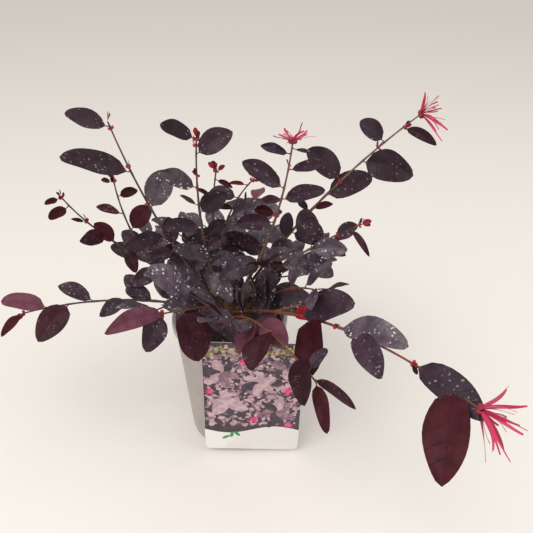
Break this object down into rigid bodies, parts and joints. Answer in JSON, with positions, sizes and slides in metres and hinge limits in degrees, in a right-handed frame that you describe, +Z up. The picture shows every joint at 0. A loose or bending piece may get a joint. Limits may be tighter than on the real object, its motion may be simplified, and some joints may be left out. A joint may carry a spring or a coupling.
{
  "type": "potted fringe flower shrub",
  "caption": "Young purple-leaved Chinese fringe flower with arching leafy canes and pink strap-petalled flowers, in a tapered nursery pot with a plant card hung on its rim.",
  "frame": {"origin": "centre of the pot's flat underside", "axes": "+Z up out of the pot, -Y towards the side that carries the plant card, +X to the right for a viewer who faces the card"},
  "size_m": [0.4169, 0.4212, 0.3565],
  "materials": {
    "pot_plastic": "matte",
    "soil": "matte",
    "card": "satin",
    "bark": "matte",
    "leaves": "satin"
  },
  "bodies": {
    "root": {"pot": "pot_plastic", "soil": "soil", "plant_card": "card", "stem": "bark", "bough_far_left": "bark", "foliage_far_left": "leaves", "bough_upper_left": "bark", "foliage_upper_left": "leaves", "bough_tall_left": "bark", "foliage_tall_left": "leaves", "bough_upright_left": "bark", "foliage_upright_left": "leaves", "bough_thin_back": "bark", "foliage_thin_back": "leaves", "bough_back_centre": "bark", "foliage_back_centre": "leaves", "bough_upright_flower": "bark", "foliage_upright_flower": "leaves", "bough_tall_right": "bark", "foliage_tall_right": "leaves", "bough_right": "bark", "foliage_right": "leaves", "bough_centre_right": "bark", "foliage_centre_right": "leaves", "bough_long_front_right": "bark", "foliage_long_front_right": "leaves", "bough_front_low": "bark", "foliage_front_low": "leaves", "bough_front_left": "bark", "foliage_front_left": "leaves", "bough_low_left": "bark", "foliage_low_left": "leaves", "bough_low_back_left": "bark", "foliage_low_back_left": "leaves", "bough_low_back": "bark", "foliage_low_back": "leaves", "bough_low_back_right": "bark", "foliage_low_back_right": "leaves"}
  },
  "joints": []
}
